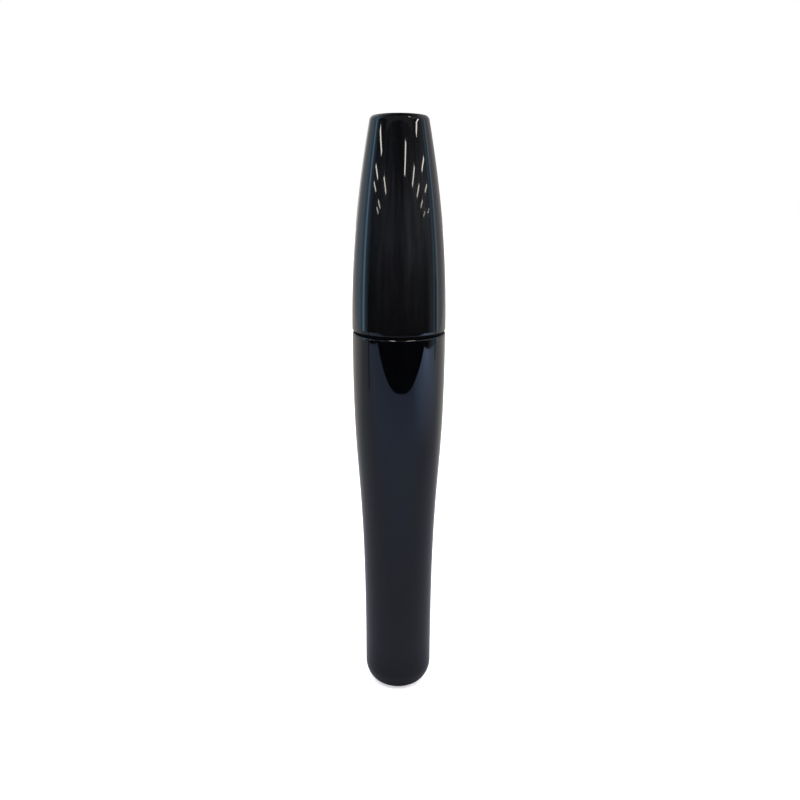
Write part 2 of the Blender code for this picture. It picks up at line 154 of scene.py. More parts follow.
# Weight, seal and rod
WEIGHT_BORE = 4.7 * MM
SEAL_BORE = 2.2 * MM
ROD_RADIUS = 1.9 * MM
ROD_HEAD_RADIUS = 2.9 * MM
CRIMP_RADIUS = 0.9 * MM
CRIMP_DEPTH = 8.0 * MM

# Brush
STRAND_RADIUS = 0.29 * MM      # each of the two wires that are twisted together
TWIST_PITCH = 2.3 * MM
BRISTLE_COUNT = 1500           # each one has two ends, which stand out on opposite sides
BRISTLE_THICKNESS = 0.075 * MM
BRISTLE_FAN = 0.85             # how far a bristle may turn from its place in the spiral, in radians
BRISTLE_TIP_RADIUS = 2.2 * MM
BRISTLE_RADIUS = 3.6 * MM
BRISTLE_FULL_SHARE = 0.62      # share of the brush's height at which it is at its widest
BRISTLE_LENGTH = (0.86, 0.98)  # shortest and longest, as shares of the brush's radius
BRISTLE_BEND = 0.12            # up or down, as a share of the length

SHELL_STEPS = 160              # steps around the outer shells
INNER_STEPS = 96               # steps around the pieces inside them
ROD_STEPS = 64
SMOOTH_ANGLE = math.radians(32.0)
STRAND_SMOOTH_ANGLE = math.radians(60.0)

# Camera and lamps
CAMERA_PLACE = (0.00028, -0.1846, 0.1183)
CAMERA_PITCH_DEGREES = 15.165
CAMERA_ROLL_DEGREES = 0.18
CAMERA_LENS = 39.33            # on a 36 mm sensor
CEILING = 2.5                  # above the table
LAMP_ROWS = ((-2.0, (-0.62, 1.3)),
             (-2.55, (-12.6, -10.2, -7.2, 6.4, 10.1, 14.2, 22.3)),
             (-7.4, (-15.0, -12.5, -7.1, 2.45, 6.5, 9.9, 14.1, 19.0)))
LAMP_SKEW = 0.06               # how much nearer the rows come for each metre to the right
LAMP_SIZE = (0.45, 2.3)
LAMP_RADIANCE = 16.0
LAMP_COLOUR = (1.0, 0.94, 0.84)
SOFT_LIGHT = 0.8               # radiance of the wide lamp above the object
SOFT_LIGHT_PLACE = (0.0, 0.5, 1.6)
SOFT_LIGHT_SIZE = (3.6, 3.6)

# Floor, which the camera sees, and the table top, which only the reflections see
FLOOR_SIZE = 3.0
FLOOR_Z = -0.2 * MM
FLOOR_GLOW = 0.5               # its own light, which keeps the shadow faint
TABLE_OUTLINE = ((-0.34, -0.252), (0.02, -0.247), (0.20, -0.213), (0.36, -0.173),
                 (0.40, 0.0), (0.40, 2.0), (-0.43, 2.0), (-0.43, -0.05))
TABLE_DEPTH_SPAN = 0.6         # the table's colours run over this depth, centred on the object
TABLE_DEPTH_COLOURS = ((0.12, (0.34, 0.44, 0.70)), (0.30, (0.40, 0.50, 0.74)),
                       (0.42, (0.41, 0.43, 0.54)), (0.60, (0.46, 0.48, 0.55)),
                       (0.72, (0.68, 0.67, 0.67)), (1.0, (0.78, 0.75, 0.73)))
WINDOW_SPOT = (0.36, -0.12, 0.0)   # where the table shows the light of a window
WINDOW_SPOT_SIZE = 0.24
WINDOW_SPOT_COLOURS = ((0.0, (0.75, 1.05, 1.60)), (0.35, (0.42, 0.60, 0.98)), (1.0, (0.0, 0.0, 0.0)))
CONTACT_SPAN = 0.05            # the object keeps the light off the table close around itself
CONTACT_SHADE = ((0.0, 0.05), (0.11, 0.10), (0.17, 0.70), (0.5, 1.0))

# Upright cards that only the reflections see: name, (x, y), width, bottom, top and light. The dim one
# hides the nearest lamps from the cap's top edge, and the black ones are posts beside the windows.
CARDS = (("edge_card", (0.0, -0.030), 0.064, 0.137, 0.205, 0.24),
         ("left_post", (-0.254, -0.054), 0.010, 0.0, 0.075, 0.0),
         ("right_post", (0.345, 0.055), 0.013, 0.0, 0.075, 0.0))

# The room by direction: degrees to the right of the front, and the light that comes from there
ROOM_WALLS = ((-180, (0.03, 0.03, 0.03)), (-168, (0.03, 0.03, 0.03)), (-163, (1.15, 1.14, 1.12)),
              (-154, (1.08, 1.07, 1.05)), (-148, (0.66, 0.66, 0.66)), (-127, (0.57, 0.62, 0.66)),
              (-112, (0.57, 0.78, 1.00)), (-103.5, (0.26, 0.55, 0.78)), (-99, (0.55, 0.92, 1.25)),
              (-96.5, (1.30, 2.05, 2.75)), (-94, (0.95, 1.50, 1.95)), (-91.5, (0.30, 0.50, 0.72)),
              (-84, (0.20, 0.30, 0.42)), (-76, (0.10, 0.15, 0.20)), (-52, (0.23, 0.26, 0.31)),
              (-22, (0.25, 0.26, 0.33)), (-3, (0.13, 0.14, 0.21)), (10, (0.18, 0.19, 0.25)),
              (18, (0.36, 0.38, 0.45)), (60, (0.34, 0.36, 0.41)), (84, (0.34, 0.37, 0.42)),
              (91, (0.20, 0.26, 0.33)), (96, (0.46, 0.64, 0.86)), (101.5, (0.22, 0.37, 0.48)),
              (105.5, (0.38, 0.56, 0.70)), (109, (1.15, 1.38, 1.65)), (112.5, (0.60, 0.71, 0.83)),
              (120, (0.48, 0.53, 0.58)), (136, (0.60, 0.55, 0.57)), (158, (0.62, 0.57, 0.57)),
              (168, (0.03, 0.03, 0.03)), (180, (0.03, 0.03, 0.03)))
# The share of that light by the height of the direction's unit vector, in front and at the sides
FRONT_HEIGHTS = ((-0.20, 0.03), (-0.12, 0.20), (-0.04, 0.33), (0.0, 0.50), (0.06, 0.72), (0.10, 0.85),
                 (0.20, 0.85), (0.28, 0.50), (0.36, 0.30), (0.42, 0.50), (0.46, 1.40), (0.90, 1.40),
                 (0.98, 0.50))
SIDE_HEIGHTS = ((0.60, 1.0), (0.90, 0.10))
SIDES_START = math.radians(74.5)
SIDES_BLEND = math.radians(14.0)
CLUTTER_SCALE = 7.0            # soft patches in front, for the things that stand about in a room
CLUTTER_RANGE = (-0.2, 2.2)


# Outlines

def bezier(start, start_handle, end_handle, end, segments):
    """Points along a cubic curve, both ends included."""
    points = []
    for i in range(segments + 1):
        t = i / segments
        s = 1.0 - t
        point = (s ** 3 * Vector(start) + 3 * s * s * t * Vector(start_handle)
                 + 3 * s * t * t * Vector(end_handle) + t ** 3 * Vector(end))
        points.append((point.x, point.y))
    return points


def arc(centre, radii, start_degrees, end_degrees, segments):
    """Points along an elliptical arc, both ends included. 0 degrees points outwards, 90 upwards."""
    points = []
    for i in range(segments + 1):
        angle = math.radians(start_degrees + (end_degrees - start_degrees) * i / segments)
        points.append((centre[0] + radii[0] * math.cos(angle), centre[1] + radii[1] * math.sin(angle)))
    return points


def straight(start, end, segments):
    """Points along a line, both ends included."""
    points = []
    for i in range(segments + 1):
        share = i / segments
        points.append((start[0] + (end[0] - start[0]) * share, start[1] + (end[1] - start[1]) * share))
    return points


def moulded(points, radius, segments=3):
    """The same outline with each sharp corner rounded, as far as its neighbours leave room."""
    result = []
    count = len(points)
    for i, corner in enumerate(points):
        here = Vector(corner)
        back = Vector(points[i - 1]) - here
        ahead = Vector(points[(i + 1) % count]) - here
        if corner[0] == 0.0 or math.pi - back.angle(ahead) < SMOOTH_ANGLE:
            result.append(corner)
            continue
        reach = min(radius, 0.4 * back.length, 0.4 * ahead.length)
        start = here + back.normalized() * reach
        end = here + ahead.normalized() * reach
        for step in range(segments + 1):
            t = step / segments
            point = (1 - t) ** 2 * start + 2 * (1 - t) * t * here + t * t * end
            result.append((point.x, point.y))
    return result


def tube_flank(segments):
    """Outer side of the tube, from under its top edge down to the start of the rounded foot."""
    top = TUBE_TOP.z - TUBE_EDGE
    height = top - FOOT_ROUND_HEIGHT
    return bezier((TUBE_RADIUS, top), (TUBE_RADIUS, top - SHOULDER_HANDLE * height),
                  (FOOT_RADIUS, FOOT_ROUND_HEIGHT + FOOT_HANDLE * height),
                  (FOOT_RADIUS, FOOT_ROUND_HEIGHT), segments)


def cap_edge_centre():
    """Centre of the cap's rounded top edge."""
    lean = math.radians(CAP_TAPER_DEGREES)
    rise = CAP_TOP_EDGE * math.sin(math.radians(CROWN_END_DEGREES))
    return (CAP_TOP_RADIUS - CAP_TOP_EDGE * math.cos(lean), CAP_TOP.z - CAP_CROWN - rise)


def cap_flank(segments):
    """Outer side of the cap, from under its top edge down to the top of its rim edge."""
    lean = math.radians(CAP_TAPER_DEGREES)
    top = cap_edge_centre()[1] + CAP_TOP_EDGE * math.sin(lean)
    bottom = CAP_LOW.z + RIM_EDGE
    height = top - bottom
    handle = CAP_TOP_HANDLE * height
    return bezier((CAP_TOP_RADIUS, top), (CAP_TOP_RADIUS + handle * math.tan(lean), top - handle),
                  (RIM_RADIUS, bottom + CAP_RIM_HANDLE * height), (RIM_RADIUS, bottom), segments)


def vial_side(inset, segments):
    """Side of the vial from its shoulder down to its flat bottom, moved inwards by inset."""
    body = VIAL_BODY_RADIUS - inset
    foot = VIAL_FOOT_RADIUS - inset
    low, high = VIAL_TAPER_Z
    middle = (low + high) / 2
    points = bezier((body, high), (body, middle), (foot, middle), (foot, low), segments)
    radii = (foot - FOOT_FLAT_RADIUS, VIAL_FOOT_ROUND_Z - VIAL_LOW.z - inset)
    return points + arc((FOOT_FLAT_RADIUS, VIAL_FOOT_ROUND_Z), radii, 0, -90, 10)


# Building

def built(name, places, faces):
    """An object with these corner points and faces."""
    mesh = bpy.data.meshes.new(name)
    mesh.from_pydata(places, [], faces)
    return bpy.data.objects.new(name, mesh)


def lathe(name, profile, steps=INNER_STEPS, swell=None):
    """A piece that turns a profile about Z. swell(angle, radius, height) is added to the radius."""
    places = []
    rings = []
    for radius, height in profile:
        if radius == 0.0:
            rings.append([len(places)] * steps)
            places.append((0.0, 0.0, height))
            continue
        rings.append(list(range(len(places), len(places) + steps)))
        for step in range(steps):
            angle = 2.0 * math.pi * step / steps
            reach = radius + (swell(angle, radius, height) if swell else 0.0)
            places.append((reach * math.cos(angle), reach * math.sin(angle), height))
    pairs = list(zip(rings, rings[1:]))
    if profile[0][0] != 0.0:
        pairs.append((rings[-1], rings[0]))
    faces = []
    for upper, lower in pairs:
        for step in range(steps):
            ahead = (step + 1) % steps
            corners = (upper[step], lower[step], lower[ahead], upper[ahead])
            faces.append(tuple(dict.fromkeys(corners)))
    return built(name, places, faces)


def placed(obj, body, node, finish, angle=SMOOTH_ANGLE):
    """Show a piece: smooth shading, material, the body that it rides on, and the hidden node that it stands
    for.
    """
    bpy.context.scene.collection.objects.link(obj)
    obj.data.materials.clear()
    obj.data.materials.append(finish)
    obj.data.shade_smooth()
    obj.data.set_sharp_from_angle(angle=angle)
    weighted = obj.modifiers.new("flat_faces", "WEIGHTED_NORMAL")
    weighted.keep_sharp = True
    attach(obj, body)
    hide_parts(node)
    return obj


# Small node helpers

def calculated(tree, operation, *values):
    """Output of a Math node; each value is a number or another node's output."""
    node = tree.nodes.new("ShaderNodeMath")
    node.operation = operation
    for socket, value in zip(node.inputs, values):
        if isinstance(value, (int, float)):
            socket.default_value = value
        else:
            tree.links.new(value, socket)
    return node.outputs["Value"]


def combined(tree, operation, *values):
    """Output of a Vector Math node; each value is a triple or another node's output."""
    node = tree.nodes.new("ShaderNodeVectorMath")
    node.operation = operation
    for socket, value in zip(node.inputs, values):
        if isinstance(value, tuple):
            socket.default_value = value
        else:
            tree.links.new(value, socket)
    return node.outputs["Value" if operation in ("DISTANCE", "LENGTH") else "Vector"]


def ramp(tree, factor, stops):
    """Output of a colour ramp with these (position, colour) stops."""
    node = tree.nodes.new("ShaderNodeValToRGB")
    elements = node.color_ramp.elements
    while len(elements) < len(stops):
        elements.new(0.5)
    for element, (position, colour) in zip(elements, stops):
        element.position = position
        element.color = (*colour, 1.0)
    tree.links.new(factor, node.inputs["Fac"])
    return node.outputs["Color"]


def grey_stops(stops):
    """The stops of a ramp that holds plain numbers."""
    return [(position, (share, share, share)) for position, share in stops]


def mixed(tree, factor, first, second):
    """Output of a Mix Shader node, which is the first shader where the factor is 0."""
    node = tree.nodes.new("ShaderNodeMixShader")
    for socket, source in zip(node.inputs, (factor, first, second)):
        tree.links.new(source, socket)
    return node.outputs["Shader"]


# Materials

def principled(name, colour, roughness, **sockets):
    """A Principled material with these values on its own sockets."""
    result = bpy.data.materials.new(name)
    result.use_nodes = True
    shader = result.node_tree.nodes["Principled BSDF"]
    shader.inputs["Base Color"].default_value = (*colour, 1.0)
    shader.inputs["Roughness"].default_value = roughness
    for socket, value in sockets.items():
        shader.inputs[socket.replace("_", " ")].default_value = value
    return result


def noise(material, size, detail=3.0, stretch=(1.0, 1.0, 1.0)):
    """Noise in the piece's own space, whose features are about size across. Returns its factor."""
    nodes = material.node_tree.nodes
    links = material.node_tree.links
    place = nodes.new("ShaderNodeTexCoord")
    scaled = nodes.new("ShaderNodeMapping")
    scaled.inputs["Scale"].default_value = [1.0 / (size * axis) for axis in stretch]
    texture = nodes.new("ShaderNodeTexNoise")
    texture.inputs["Scale"].default_value = 1.0
    texture.inputs["Detail"].default_value = detail
    links.new(place.outputs["Object"], scaled.inputs["Vector"])
    links.new(scaled.outputs["Vector"], texture.inputs["Vector"])
    return texture.outputs["Fac"]


def vary_colour(material, pattern, dark, light):
    """Mix two colours over the surface by a pattern."""
    tree = material.node_tree
    colour = ramp(tree, pattern, ((0.35, dark), (0.65, light)))
    tree.links.new(colour, tree.nodes["Principled BSDF"].inputs["Base Color"])


def vary_roughness(material, pattern, low, high):
    """Let the roughness follow a pattern."""
    tree = material.node_tree
    spread = tree.nodes.new("ShaderNodeMapRange")
    spread.inputs["From Min"].default_value = 0.3
    spread.inputs["From Max"].default_value = 0.7
    spread.inputs["To Min"].default_value = low
    spread.inputs["To Max"].default_value = high
    tree.links.new(pattern, spread.inputs["Value"])
    tree.links.new(spread.outputs["Result"], tree.nodes["Principled BSDF"].inputs["Roughness"])


def relief(material, pattern, height, strength=1.0):
    """A bump of this height that follows a pattern."""
    tree = material.node_tree
    bump = tree.nodes.new("ShaderNodeBump")
    bump.inputs["Distance"].default_value = height
    bump.inputs["Strength"].default_value = strength
    tree.links.new(pattern, bump.inputs["Height"])
    tree.links.new(bump.outputs["Normal"], tree.nodes["Principled BSDF"].inputs["Normal"])


def gloss_lacquer(name, dark, light):
    """High-gloss black moulding: faint cloudiness and the slightest orange peel."""
    material = principled(name, light, 0.03, IOR=1.5)
    vary_colour(material, noise(material, 9.0 * MM), dark, light)
    vary_roughness(material, noise(material, 5.0 * MM, stretch=(1.0, 1.0, 4.0)), 0.024, 0.042)
    relief(material, noise(material, 4.0 * MM, detail=1.0), 0.0008 * MM)
    return material


def cap_gloss():
    return gloss_lacquer("cap_gloss", (0.0019, 0.0019, 0.0022), (0.0026, 0.0026, 0.0029))


def tube_gloss():
    return gloss_lacquer("tube_gloss", (0.0004, 0.0005, 0.0008), (0.0008, 0.0009, 0.0013))


def moulded_plastic(name, dark, light, roughness, grain=0.35 * MM, **sockets):
    """Moulded plastic: slight colour drift, uneven sheen and a fine grain."""
    material = principled(name, light, roughness, **sockets)
    vary_colour(material, noise(material, 6.0 * MM), dark, light)
    vary_roughness(material, noise(material, 2.5 * MM), roughness - 0.05, roughness + 0.06)
    relief(material, noise(material, grain), 0.01 * MM)
    return material


def vial_plastic():
    return moulded_plastic("vial_plastic", (0.46, 0.46, 0.44), (0.54, 0.54, 0.52), 0.32,
                           Subsurface_Weight=0.15, Subsurface_Scale=0.002)


# Black plastic for the collar, with its reflection nearly turned off (Specular IOR Level 0.05): painted
# shade, so that the seam gap between cap and tube reads black.
def collar_satin():
    return moulded_plastic("collar_satin", (0.0007, 0.0007, 0.0008), (0.0010, 0.0010, 0.0011), 0.6,
                           Specular_IOR_Level=0.05)


def liner_plastic():
    return moulded_plastic("liner_plastic", (0.012, 0.012, 0.013), (0.018, 0.018, 0.019), 0.38)


def rod_plastic():
    return moulded_plastic("rod_plastic", (0.007, 0.007, 0.008), (0.010, 0.010, 0.011), 0.3)


def wiper_rubber():
    return moulded_plastic("wiper_rubber", (0.085, 0.085, 0.09), (0.11, 0.11, 0.115), 0.55,
                           grain=0.15 * MM)


def brushed_metal(name, dark, light, roughness, stretch):
    """Drawn or turned steel: fine lines, with the darker patches that handling leaves."""
    material = principled(name, light, roughness, Metallic=1.0)
    vary_colour(material, noise(material, 3.0 * MM), dark, light)
    lines = noise(material, 0.06 * MM, detail=2.0, stretch=stretch)
    vary_roughness(material, lines, roughness - 0.08, roughness + 0.1)
    relief(material, lines, 0.004 * MM)
    return material


def weight_steel():
    return brushed_metal("weight_steel", (0.42, 0.42, 0.43), (0.58, 0.58, 0.59), 0.32, (12.0, 12.0, 1.0))


def wire_steel():
    return brushed_metal("wire_steel", (0.36, 0.36, 0.37), (0.50, 0.50, 0.51), 0.34, (1.0, 1.0, 10.0))


def seal_foam():
    """Closed-cell foam: pale, matte and pitted."""
    material = principled("seal_foam", (0.74, 0.74, 0.71), 0.85)
    cells = material.node_tree.nodes.new("ShaderNodeTexVoronoi")
    cells.inputs["Scale"].default_value = 1.0 / (0.18 * MM)
    place = material.node_tree.nodes.new("ShaderNodeTexCoord")
    material.node_tree.links.new(place.outputs["Object"], cells.inputs["Vector"])
    vary_colour(material, noise(material, 1.5 * MM), (0.68, 0.68, 0.65), (0.78, 0.78, 0.75))
    vary_roughness(material, noise(material, 0.4 * MM), 0.78, 0.92)
    relief(material, cells.outputs["Distance"], 0.05 * MM)
    return material


def mascara_black():
    """Wet paste: black, lumpy and shiny."""
    material = principled("mascara_black", (0.004, 0.004, 0.004), 0.2,
                          Coat_Weight=0.4, Coat_Roughness=0.08)
    vary_colour(material, noise(material, 2.0 * MM), (0.0025, 0.0025, 0.0025), (0.006, 0.006, 0.0062))
    vary_roughness(material, noise(material, 1.2 * MM), 0.14, 0.32)
    relief(material, noise(material, 0.9 * MM, detail=5.0), 0.15 * MM)
    return material


def bristle_nylon():
    """Black nylon fibres with paste dried on some of them."""
    material = principled("bristle_nylon", (0.010, 0.010, 0.011), 0.45)
    vary_colour(material, noise(material, 0.8 * MM), (0.006, 0.006, 0.0065), (0.016, 0.016, 0.017))
    vary_roughness(material, noise(material, 0.5 * MM), 0.3, 0.6)
    relief(material, noise(material, 0.05 * MM), 0.01 * MM)
    return material


def label_paper():
    """Blank matte film with a faint paper tooth."""
    material = principled("label_paper", (0.70, 0.70, 0.68), 0.6)
    vary_colour(material, noise(material, 0.5 * MM), (0.66, 0.66, 0.64), (0.73, 0.73, 0.71))
    vary_roughness(material, noise(material, 0.3 * MM), 0.5, 0.68)
    relief(material, noise(material, 0.06 * MM), 0.004 * MM)
    return material


# Pieces of the tube

def add_outer_tube():
    """Outer shell: rounded foot with a label recess, S-shaped flank, and a mouth with a ledge."""
    foot_centre = (FOOT_FLAT_RADIUS, FOOT_ROUND_HEIGHT)
    floor_radii = (FOOT_RADIUS - TUBE_WALL - FOOT_FLAT_RADIUS, FOOT_ROUND_HEIGHT - BASE_THICKNESS)
    ledge_z = TUBE_TOP.z - LEDGE_DEPTH
    wall = [(radius - TUBE_WALL, height) for radius, height in tube_flank(24)]
    wall = [point for point in wall if point[0] < LEDGE_RADIUS]
    inside = [(0.0, BASE_THICKNESS)]
    inside += arc(foot_centre, floor_radii, -90, 0, 6)[:-1]
    inside += wall[::-1]
    inside += [(LEDGE_RADIUS, wall[0][1] + 0.3 * MM), (LEDGE_RADIUS, ledge_z),
               (MOUTH_RADIUS, ledge_z), (MOUTH_RADIUS, TUBE_TOP.z)]
    outside = arc((TUBE_RADIUS - TUBE_EDGE, TUBE_TOP.z - TUBE_EDGE), (TUBE_EDGE, TUBE_EDGE), 90, 0, 10)
    outside += tube_flank(80)[1:]
    outside += arc(foot_centre, (FOOT_RADIUS - FOOT_FLAT_RADIUS, FOOT_ROUND_HEIGHT), 0, -90, 28)[1:]
    outside += [(LABEL_RECESS_RADIUS, 0.0), (LABEL_RECESS_RADIUS, LABEL_RECESS), (0.0, LABEL_RECESS)]
    profile = moulded(inside + outside, 0.08 * MM)
    shell = lathe("tube_shell", profile, SHELL_STEPS)
    placed(shell, "tube", "outer_tube", tube_gloss())


def add_base_label():
    """Blank round sticker in the foot's recess, with a soft cut edge."""
    radius = LABEL_HIGH.x
    profile = [(0.0, LABEL_HIGH.z), (radius, LABEL_HIGH.z), (radius, LABEL_LOW.z), (0.0, LABEL_LOW.z)]
    label = lathe("blank_label", moulded(profile, 0.04 * MM))
    placed(label, "tube", "base_label", label_paper())


def thread_swell(angle, height, bottom_z):
    """How far a screw ridge that starts at bottom_z stands out at this angle and height."""
    turn = angle / (2.0 * math.pi)
    rise = 0.0
    for lap in (-1, 0, 1):
        along = turn + lap
        if not -RIDGE_RUN < along < 1.0 + RIDGE_RUN:
            continue
        away = (height - bottom_z - THREAD_PITCH * along) / RIDGE_HALF_WIDTH
        if abs(away) > 1.0:
            continue
        from_end = min(along + RIDGE_RUN, 1.0 + RIDGE_RUN - along)
        fade = min(1.0, from_end / (2 * RIDGE_RUN))
        rise = max(rise, RIDGE_HEIGHT * math.cos(away * math.pi / 2) ** RIDGE_POWER * fade)
    return rise


def thread_rows(radius, bottom_z, downwards):
    """Close rows of points on a wall, where a thread's ridge needs them."""
    low = bottom_z - THREAD_PITCH * RIDGE_RUN - RIDGE_HALF_WIDTH
    high = bottom_z + THREAD_PITCH * (1.0 + RIDGE_RUN) + RIDGE_HALF_WIDTH
    rows = straight((radius, low), (radius, high), THREAD_ROWS)
    return rows[::-1] if downwards else rows


def add_inner_vial():
    """Vial with the paste: tapered body, flange on the tube's ledge, and threaded neck."""
    low, high = FLANGE_Z
    bottom = VIAL_LOW.z
    inside = [(0.0, bottom + VIAL_WALL)]
    inside += vial_side(VIAL_WALL, 12)[::-1]
    inside += [(VIAL_BODY_RADIUS - VIAL_WALL, low - 3.0 * MM), (NECK_BORE_RADIUS, high),
               (NECK_BORE_RADIUS, VIAL_HIGH.z)]
    outside = [(NECK_RADIUS, VIAL_HIGH.z)]
    outside += thread_rows(NECK_RADIUS, NECK_THREAD_Z, downwards=True)
    outside += [(NECK_RADIUS, high), (FLANGE_RADIUS, high), (FLANGE_RADIUS, low),
                (VIAL_BODY_RADIUS, low)]
    outside += vial_side(0.0, 12)
    outside += [(0.0, bottom)]

    def swell(angle, radius, height):
        on_neck = radius == NECK_RADIUS and height > high + MM
        return thread_swell(angle, height, NECK_THREAD_Z) if on_neck else 0.0

    vial = lathe("vial", moulded(inside + outside, 0.2 * MM), INNER_STEPS, swell)
    placed(vial, "tube", "inner_vial", vial_plastic())


def add_mascara_paste():
    """Paste in the vial, with the ragged channel that the brush leaves in it."""
    rng = random.Random(7)
    phases = [rng.uniform(0.0, 2.0 * math.pi) for _ in range(4)]
    profile = [(0.0, PASTE_FLOOR_Z)]
    profile += straight((PASTE_CHANNEL_RADIUS, WIRE_TIP_Z), (PASTE_CHANNEL_RADIUS, PASTE_HIGH.z), 40)
    paste_radius = VIAL_BODY_RADIUS - PASTE_GAP
    profile += straight((PASTE_CHANNEL_RADIUS, PASTE_HIGH.z), (paste_radius, PASTE_HIGH.z), 6)[1:]
    profile += vial_side(PASTE_GAP, 16)[1:]
    profile += [(0.0, PASTE_LOW.z)]

    def swell(angle, radius, height):
        if radius != PASTE_CHANNEL_RADIUS:
            return 0.0
        waves = (math.sin(3 * angle + 900 * height + phases[0])
                 + math.sin(5 * angle - 1500 * height + phases[1])
                 + math.sin(2 * angle + 2300 * height + phases[2])
                 + math.sin(7 * angle + phases[3]))
        return PASTE_WAVE * (waves + len(phases))

    paste = lathe("paste", profile, INNER_STEPS, swell)
    placed(paste, "tube", "mascara_paste", mascara_black())


def add_wiper():
    """Soft sleeve in the neck that narrows to a lip around the rod."""
    flange = WIPER_HIGH.x
    low = WIPER_LOW.z
    outer = WIPER_SLEEVE_RADIUS
    profile = [(flange, WIPER_HIGH.z), (flange, WIPER_FLANGE_Z), (outer, WIPER_FLANGE_Z),
               (outer, WIPER_SLEEVE_Z), (WIPER_LIP_RADIUS + WIPER_WALL, low), (WIPER_LIP_RADIUS, low),
               (WIPER_LIP_RADIUS, low + WIPER_WALL), (outer - WIPER_WALL, WIPER_SLEEVE_Z + WIPER_WALL),
               (outer - WIPER_WALL, WIPER_HIGH.z)]
    sleeve = lathe("wiper_sleeve", moulded(profile, 0.15 * MM))
    placed(sleeve, "tube", "wiper", wiper_rubber())


def add_neck_collar():
    """Thin ring over the tube's mouth; its edge shows in the seam, kept black there by painted shade in its
    material.
    """
    outer = COLLAR_HIGH.x
    profile = [(outer, COLLAR_HIGH.z), (outer, COLLAR_PLATE_Z), (COLLAR_SKIRT_RADIUS, COLLAR_PLATE_Z),
               (COLLAR_SKIRT_RADIUS, COLLAR_LOW.z), (COLLAR_SKIRT_BORE, COLLAR_LOW.z),
               (COLLAR_SKIRT_BORE, COLLAR_PLATE_Z), (COLLAR_BORE, COLLAR_PLATE_Z),
               (COLLAR_BORE, COLLAR_HIGH.z)]
    collar = lathe("collar", moulded(profile, 0.1 * MM), SHELL_STEPS)
    placed(collar, "tube", "neck_collar", collar_satin())


# Pieces of the cap

def add_cap_shell():
    """Outer shell of the cap: crowned top, tapered flank and upright rim."""
    edge_centre = cap_edge_centre()
    ceiling = CAP_TOP.z - CAP_TOP_WALL
    wall = [(radius - CAP_WALL, height) for radius, height in cap_flank(20)]
    wall = [point for point in wall if point[1] < ceiling - CAP_WALL]
    edge = arc(edge_centre, (CAP_TOP_EDGE, CAP_TOP_EDGE), CROWN_END_DEGREES, CAP_TAPER_DEGREES, 16)
    crown = []
    for i in range(CROWN_STEPS):
        share = i / CROWN_STEPS
        crown.append((share * edge[0][0], CAP_TOP.z - CAP_CROWN * share ** CROWN_POWER))
    outside = crown + edge[:-1]
    outside += cap_flank(72)
    outside += arc((RIM_RADIUS - RIM_EDGE, CAP_LOW.z + RIM_EDGE), (RIM_EDGE, RIM_EDGE), 0, -90, 8)[1:]
    inside = [(RIM_RADIUS - CAP_WALL, CAP_LOW.z)]
    inside += wall[::-1]
    inside += [(wall[0][0] - CAP_WALL, ceiling), (0.0, ceiling)]
    profile = moulded(outside + inside, 0.12 * MM)
    shell = lathe("cap_outer", profile, SHELL_STEPS)
    placed(shell, "cap", "cap_shell", cap_gloss())


def add_cap_liner():
    """Inner cap: threaded skirt with ribs, web above the neck, and socket for the wand's head."""
    web_low, web_high = WEB_Z
    outside = [(SOCKET_OUTER_RADIUS, LINER_HIGH.z), (SOCKET_OUTER_RADIUS, web_high),
               (LINER_RADIUS, web_high)]
    outside += straight((LINER_RADIUS, RIB_Z[1] + 0.3 * MM), (LINER_RADIUS, RIB_Z[0] - 0.3 * MM), 24)
    outside += [(LINER_RADIUS, LINER_LOW.z)]
    inside = [(LINER_BORE, LINER_LOW.z)]
    inside += thread_rows(LINER_BORE, LINER_THREAD_Z, downwards=False)
    inside += [(LINER_BORE, web_low), (SOCKET_RADIUS, web_low), (SOCKET_RADIUS, LINER_HIGH.z)]

    def swell(angle, radius, height):
        if radius == LINER_BORE:
            return -thread_swell(angle, height, LINER_THREAD_Z)
        if radius == LINER_RADIUS and RIB_Z[0] <= height <= RIB_Z[1]:
            spacing = 2.0 * math.pi / RIB_COUNT
            away = abs((angle / spacing) % 1.0 - 0.5) * spacing * radius
            return RIB_REACH * min(1.0, max(0.0, (RIB_WIDTH / 2 + 0.1 * MM - away) / (0.2 * MM)))
        return 0.0

    liner = lathe("liner", moulded(outside + inside, 0.15 * MM), 2 * INNER_STEPS, swell)
    placed(liner, "cap", "cap_liner", liner_plastic())


def add_cap_weight():
    """Steel sleeve around the liner's socket, with turned chamfers."""
    profile = [(WEIGHT_HIGH.x, WEIGHT_HIGH.z), (WEIGHT_HIGH.x, WEIGHT_LOW.z),
               (WEIGHT_BORE, WEIGHT_LOW.z), (WEIGHT_BORE, WEIGHT_HIGH.z)]
    weight = lathe("weight", moulded(profile, 0.4 * MM, segments=1))
    placed(weight, "weight", "cap_weight", weight_steel())


def add_cap_seal():
    """Foam washer that the liner's web presses on to the wiper's flange."""
    profile = [(SEAL_HIGH.x, SEAL_HIGH.z), (SEAL_HIGH.x, SEAL_LOW.z), (SEAL_BORE, SEAL_LOW.z),
               (SEAL_BORE, SEAL_HIGH.z)]
    seal = lathe("seal", moulded(profile, 0.12 * MM))
    placed(seal, "seal", "cap_seal", seal_foam())


def add_wand_rod():
    """Rod with the head that is pressed into the socket, and a bore that holds the wire."""
    crimp_top = ROD_LOW.z + CRIMP_DEPTH
    profile = [(0.0, ROD_HIGH.z), (ROD_HEAD_RADIUS, ROD_HIGH.z), (ROD_HEAD_RADIUS, WEB_Z[0]),
               (ROD_RADIUS, WEB_Z[0]), (ROD_RADIUS, ROD_LOW.z), (CRIMP_RADIUS, ROD_LOW.z),
               (CRIMP_RADIUS, crimp_top), (0.0, crimp_top)]
    rod = lathe("rod", moulded(profile, 0.3 * MM, segments=5), ROD_STEPS)
    placed(rod, "cap", "wand_rod", rod_plastic())


